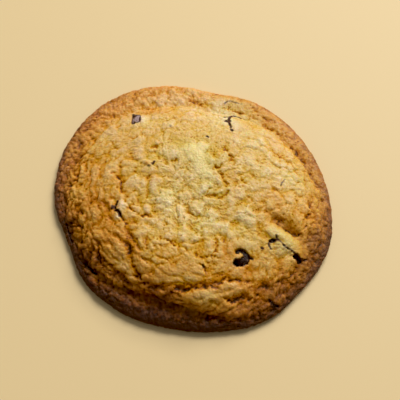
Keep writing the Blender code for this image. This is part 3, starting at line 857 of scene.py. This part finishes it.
BAKE_COLOURS = (
    (0.00, srgb(222, 206, 170)),
    (0.18, srgb(210, 184, 128)),
    (0.36, srgb(205, 167, 92)),
    (0.52, srgb(197, 143, 52)),
    (0.68, srgb(166, 110, 38)),
    (0.84, srgb(122, 76, 38)),
    (1.00, srgb(76, 46, 27)),
)
# Painted shade: an amber takes blue out of the bake's colours in the hollows; the tints go from rosy to
# greenish.
HOLLOW_SHADE_AMBER = (0.92, 0.76, 0.03, 1.0)
ROSY = (1.05, 0.96, 1.08, 1.0)
GREENISH = (0.94, 1.05, 0.92, 1.0)
PALING_COLOUR = srgb(200, 158, 114)
CHOCOLATE_SMEAR = srgb(74, 44, 24)
SHINE = 0.28


def crust_material():
    """Baked dough, from pale cream through gold to brown, pored and grainy, with painted shade in its
    hollows.
    """
    made = bpy.data.materials.new("baked crust")
    made.use_nodes = True
    tree = made.node_tree
    shader = tree.nodes["Principled BSDF"]
    where = add_node(tree, "ShaderNodeTexCoord").outputs["Object"]

    def mottle(scale, detail=3.0):
        """Cloudy blotches, so many to the metre, from -0.5 to 0.5."""
        node = add_node(tree, "ShaderNodeTexNoise", Scale=scale, Detail=detail, Roughness=0.6)
        tree.links.new(where, node.inputs["Vector"])
        return calculate(tree, "SUBTRACT", node.outputs["Fac"], 0.5)

    def scattered(scale):
        """Distance to the nearest of many scattered dots, so many to the metre."""
        node = add_node(tree, "ShaderNodeTexVoronoi", Scale=scale)
        tree.links.new(where, node.inputs["Vector"])
        return node.outputs["Distance"]

    def painted(name):
        """What was painted on the crust under this name."""
        return add_node(tree, "ShaderNodeAttribute", attribute_name=name).outputs["Fac"]

    def plus(first, second):
        return calculate(tree, "ADD", first, second)

    def minus(first, second):
        return calculate(tree, "SUBTRACT", first, second)

    def times(first, second):
        return calculate(tree, "MULTIPLY", first, second)

    browned_and_shaded = painted("browning_and_shade")
    raised = minus(painted("crest"), 0.5)

    # The bake: blotchy, more so where it is brown, and a little lighter on the crests as painted light.
    bake = plus(browned_and_shaded, times(mottle(150), 0.20))
    speckle = plus(times(times(browned_and_shaded, browned_and_shaded), 0.62), 0.07)
    bake = plus(bake, times(mottle(560), speckle))
    bake = minus(bake, times(raised, 0.15))

    # Dark pores, mostly in the hollows: tiny pits with their shade painted into the colour.
    depth = plus(scattered(850.0), times(raised, 0.7))
    depth = plus(depth, times(mottle(260), 1.1))
    depth = plus(depth, times(browned_and_shaded, 0.20))
    pore = ranged(tree, depth, 0.20, 0.06)
    bake = plus(bake, times(pore, 0.16))
    colours = add_node(tree, "ShaderNodeValToRGB")
    ramp = colours.color_ramp
    while len(ramp.elements) < len(BAKE_COLOURS):
        ramp.elements.new(0.5)
    for element, (position, colour) in zip(ramp.elements, BAKE_COLOURS):
        element.position = position
        element.color = colour
    tree.links.new(bake, colours.inputs["Fac"])

    # Painted shade: amber gold in the hollows, mixed with random grain, strongest where the crust is toasted
    # but not yet dark.
    toasted = times(ranged(tree, browned_and_shaded, 0.35, 0.60), ranged(tree, browned_and_shaded, 0.95, 0.75))
    toasted = plus(times(toasted, 0.7), 1.0)
    grain = plus(mottle(1200), mottle(2400, 1.0))
    crest_light_and_tone = plus(times(raised, toasted), times(mottle(700), 0.30))
    crest_light_and_tone = plus(crest_light_and_tone, times(grain, 0.35))
    hollow_shade_strength = times(minus(2.6, times(browned_and_shaded, 1.6)), browned_and_shaded)
    hollow_shade = ranged(tree, times(crest_light_and_tone, hollow_shade_strength), 0.22, -0.30)
    with_hollow_shade = mixed(tree, hollow_shade, colours.outputs["Color"], HOLLOW_SHADE_AMBER, "MULTIPLY")

    # A paler, greyer tone over the thin back edge, the tints, and the chocolate smears where chips show.
    paling_amount = times(painted("back_paling"), plus(mottle(600), 0.16))
    paled = mixed(tree, paling_amount, with_hollow_shade, PALING_COLOUR)
    tint = mixed(tree, plus(painted("greenness"), mottle(90, 1.0)), ROSY, GREENISH)
    tinted = mixed(tree, 1.0, paled, tint, "MULTIPLY")
    smear = ranged(tree, plus(painted("stain"), mottle(900)), 0.35, 0.9)
    tree.links.new(mixed(tree, smear, tinted, CHOCOLATE_SMEAR), shader.inputs["Base Color"])

    # Sugary grain too fine for the mesh, and an uneven, slightly waxy surface.
    rough = minus(times(mottle(1500, 1.0), 0.6), plus(scattered(1050.0), pore))
    bumps = add_node(tree, "ShaderNodeBump", Strength=1.0, Distance=0.00018)
    tree.links.new(rough, bumps.inputs["Height"])
    tree.links.new(bumps.outputs["Normal"], shader.inputs["Normal"])
    sheen = plus(times(mottle(500), 1.2), 0.46)
    tree.links.new(plus(sheen, times(browned_and_shaded, 0.25)), shader.inputs["Roughness"])
    shader.inputs["Specular IOR Level"].default_value = SHINE
    shader.inputs["Subsurface Weight"].default_value = 0.7
    shader.inputs["Subsurface Radius"].default_value = (1.0, 0.55, 0.18)
    shader.inputs["Subsurface Scale"].default_value = 0.0020
    return made


crust_mesh.materials.append(crust_material())
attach(crust, "root")
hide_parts("cookie_dough")

# ---------------------------------------------------------------- the chocolate chips
# Dark baking chips, dropped as soft chocolate and set. In the oven they softened and slumped, so each
# lies a little flattened in its pocket; those near the surface dried to a dull grey bloom.

# Each chip's node, place, length, width, thickness and heading, how far its top lies under the crust,
# and its finish.
CHIPS = (
    ("chip_back_left", (-21.1, 32.4), 7.4, 5.0, 4.0, 84.0, 0.05, "grey"),
    ("chip_back_right", (14.0, 29.8), 9.0, 6.2, 5.2, -75.0, 0.9, "dark"),
    ("chip_back_rim", (15.3, 41.3), 7.6, 3.4, 2.2, -10.0, 0.6, "browned_and_shaded"),
    ("chip_left", (-27.3, -7.5), 8.4, 5.0, 5.4, -70.0, 0.9, "dark"),
    ("chip_front", (17.6, -25.5), 9.4, 8.0, 6.0, -60.0, 0.6, "dark"),
    ("chip_right_upper", (29.3, -19.6), 6.6, 5.8, 5.2, 20.0, 0.8, "dark"),
    ("chip_right_lower", (37.9, -25.2), 6.6, 5.4, 3.8, -50.0, 0.7, "dark"),
    ("chip_right_middle", (32.4, 3.0), 6.4, 4.0, 4.8, 60.0, 0.6, "browned_and_shaded"),
    ("chip_middle", (-16.2, 10.5), 5.4, 4.6, 4.8, 40.0, 0.8, "dark"),
    ("chip_left_rim", (-45.3, -13.2), 9.2, 3.4, 1.9, -72.0, 0.4, "dark"),
    ("chip_fold", (-37.0, -27.6), 8.2, 3.6, 2.0, -42.0, 0.3, "dark"),
    ("chip_front_rim", (28.8, -40.4), 6.4, 4.2, 1.8, 35.0, 0.3, "dark"),
)
# Half of a chip's outline, as shares of its half width and its thickness: its top, side and underside.
CHIP_PROFILE = (
    (0.0, 1.0), (0.30, 0.985), (0.62, 0.92), (0.86, 0.76), (0.98, 0.52),
    (1.0, 0.30), (0.90, 0.08), (0.62, 0.0), (0.0, 0.0),
)
CHIP_SIDES = 40
SAG = 0.10
FINE_SAG = 0.04

uncut = smoothed(places + outward * sunk[..., None], 12)
uncut_outward = smoothed(outward, 10)


def crust_at(spot):
    """The smoothed crust's place and outward direction nearest to a spot, as it was before it tore."""
    distance = np.hypot(places[..., 0] - spot[0], places[..., 1] - spot[1])
    row, column = np.unravel_index(np.argmin(distance), distance.shape)
    normal = uncut_outward[row, column]
    return uncut[row, column], normal / np.linalg.norm(normal)


def chocolate_material(name, colour, bloom, bloom_share):
    """Chocolate with a cloudy bloom over a share of it, which is also duller."""
    made = bpy.data.materials.new(name)
    made.use_nodes = True
    tree = made.node_tree
    shader = tree.nodes["Principled BSDF"]
    where = add_node(tree, "ShaderNodeTexCoord").outputs["Object"]
    cloud = add_node(tree, "ShaderNodeTexNoise", Scale=1300.0, Detail=4.0, Roughness=0.65)
    tree.links.new(where, cloud.inputs["Vector"])
    bloomed = ranged(tree, cloud.outputs["Fac"], 0.66 - 0.4 * bloom_share, 0.80 - 0.4 * bloom_share)
    tree.links.new(mixed(tree, bloomed, colour, bloom), shader.inputs["Base Color"])
    dull = calculate(tree, "MULTIPLY", bloomed, 0.35)
    tree.links.new(calculate(tree, "ADD", dull, 0.45), shader.inputs["Roughness"])
    fine = add_node(tree, "ShaderNodeTexNoise", Scale=1400.0, Detail=4.0)
    tree.links.new(where, fine.inputs["Vector"])
    bumps = add_node(tree, "ShaderNodeBump", Strength=1.0, Distance=0.0005)
    tree.links.new(fine.outputs["Fac"], bumps.inputs["Height"])
    tree.links.new(bumps.outputs["Normal"], shader.inputs["Normal"])
    shader.inputs["Specular IOR Level"].default_value = SHINE
    return made


CHOCOLATES = {
    "dark": chocolate_material("dark chocolate", srgb(42, 24, 16), srgb(118, 92, 74), 0.25),
    "grey": chocolate_material("bloomed chocolate", srgb(116, 91, 87), srgb(156, 134, 132), 1.15),
    "browned_and_shaded": chocolate_material("browned chocolate", srgb(92, 62, 42), srgb(150, 118, 92), 0.60),
}


def make_chip(name, spot, length, width, thickness, heading, below, finish):
    """One chip: its profile spun round, sagged unevenly, and laid in the crust with its top outwards."""
    bm = bmesh.new()
    profile = [bm.verts.new((r, 0.0, level)) for r, level in reversed(CHIP_PROFILE)]
    edges = [bm.edges.new(pair) for pair in zip(profile, profile[1:])]
    bmesh.ops.spin(
        bm, geom=profile + edges, cent=(0, 0, 0), axis=(0, 0, 1), angle=math.tau, steps=CHIP_SIDES
    )
    bmesh.ops.remove_doubles(bm, verts=bm.verts, dist=1e-4)
    bmesh.ops.recalc_face_normals(bm, faces=bm.faces)
    bmesh.ops.subdivide_edges(bm, edges=bm.edges, cuts=1, use_grid_fill=True)
    spots = np.array([vertex.co for vertex in bm.verts])
    sag = SAG * waves(spots * 1.6 + np.array(spot[0]), 90)
    sag = 1 + sag + FINE_SAG * waves(spots * 4 + np.array(spot[1]), 91)
    spots = spots * sag[:, None] * (length / 2, width / 2, thickness)
    for vertex, place in zip(bm.verts, spots):
        vertex.co = Vector(place) * MM
    crust_point, normal = crust_at(spot)
    lean = Vector((0, 0, 1)).rotation_difference(Vector(normal)).to_matrix().to_4x4()
    base = Vector(crust_point - normal * (thickness + below)) * MM
    bm.transform(Matrix.Translation(base) @ lean @ Matrix.Rotation(math.radians(heading), 4, "Z"))
    mesh = bpy.data.meshes.new(name + "_chocolate")
    bm.to_mesh(mesh)
    bm.free()
    mesh.shade_smooth()
    mesh.materials.append(CHOCOLATES[finish])
    chip = bpy.data.objects.new(name + "_chocolate", mesh)
    bpy.context.scene.collection.objects.link(chip)
    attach(chip, "root")
    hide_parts(name)


for chip in CHIPS:
    make_chip(*chip)

# ---------------------------------------------------------------- the table, the window and the camera
# A plain pale warm tabletop, a wide soft window at the back right with the rest of the room dim, and a
# camera that looks steeply down from the front. These are in metres.

TABLE_HALF_SIDE = 2
table = bpy.data.meshes.new("tabletop")
corners = [(-1, -1), (1, -1), (1, 1), (-1, 1)]
table.from_pydata([(x * TABLE_HALF_SIDE, y * TABLE_HALF_SIDE, 0) for x, y in corners], [], [(0, 1, 2, 3)])
tabletop = bpy.data.objects.new("tabletop", table)
bpy.context.scene.collection.objects.link(tabletop)
paper = bpy.data.materials.new("pale tabletop")
paper.use_nodes = True
paper.node_tree.nodes["Principled BSDF"].inputs["Base Color"].default_value = srgb(221, 197, 147)
paper.node_tree.nodes["Principled BSDF"].inputs["Roughness"].default_value = 0.6
table.materials.append(paper)

CAMERA_ELEVATION = math.radians(66)
CAMERA_DISTANCE = 0.3495
LOOK_AT = Vector((0.0027, -0.0001, 0.004))
view_line = Vector((0, -math.cos(CAMERA_ELEVATION), math.sin(CAMERA_ELEVATION)))
camera = bpy.data.objects.new("camera", bpy.data.cameras.new("camera"))
camera.data.lens = 85
camera.location = LOOK_AT + view_line * CAMERA_DISTANCE
camera.rotation_euler = (-view_line).to_track_quat("-Z", "Y").to_euler()
bpy.context.scene.collection.objects.link(camera)
bpy.context.scene.camera = camera

WINDOW_PLACE = Vector((0.82, 1.51, 1.68))
window_light = bpy.data.lights.new("window", "AREA")
window_light.size = 1.4
window_light.energy = 70.5
window_light.color = (1.0, 0.97, 0.93)
window = bpy.data.objects.new("window", window_light)
window.location = WINDOW_PLACE
window.rotation_euler = (-WINDOW_PLACE).to_track_quat("-Z", "Y").to_euler()
bpy.context.scene.collection.objects.link(window)

room = bpy.data.worlds.new("room light")
room.use_nodes = True
room.node_tree.nodes["Background"].inputs["Color"].default_value = (1.0, 0.97, 0.94, 1.0)
room.node_tree.nodes["Background"].inputs["Strength"].default_value = 0.26
bpy.context.scene.world = room
# Plain colours, with the very darkest tones taken down to black.
picture = bpy.context.scene.view_settings
picture.view_transform = "Standard"
picture.use_curve_mapping = True
picture.curve_mapping.black_level = (0.008, 0.008, 0.008)
picture.curve_mapping.update()
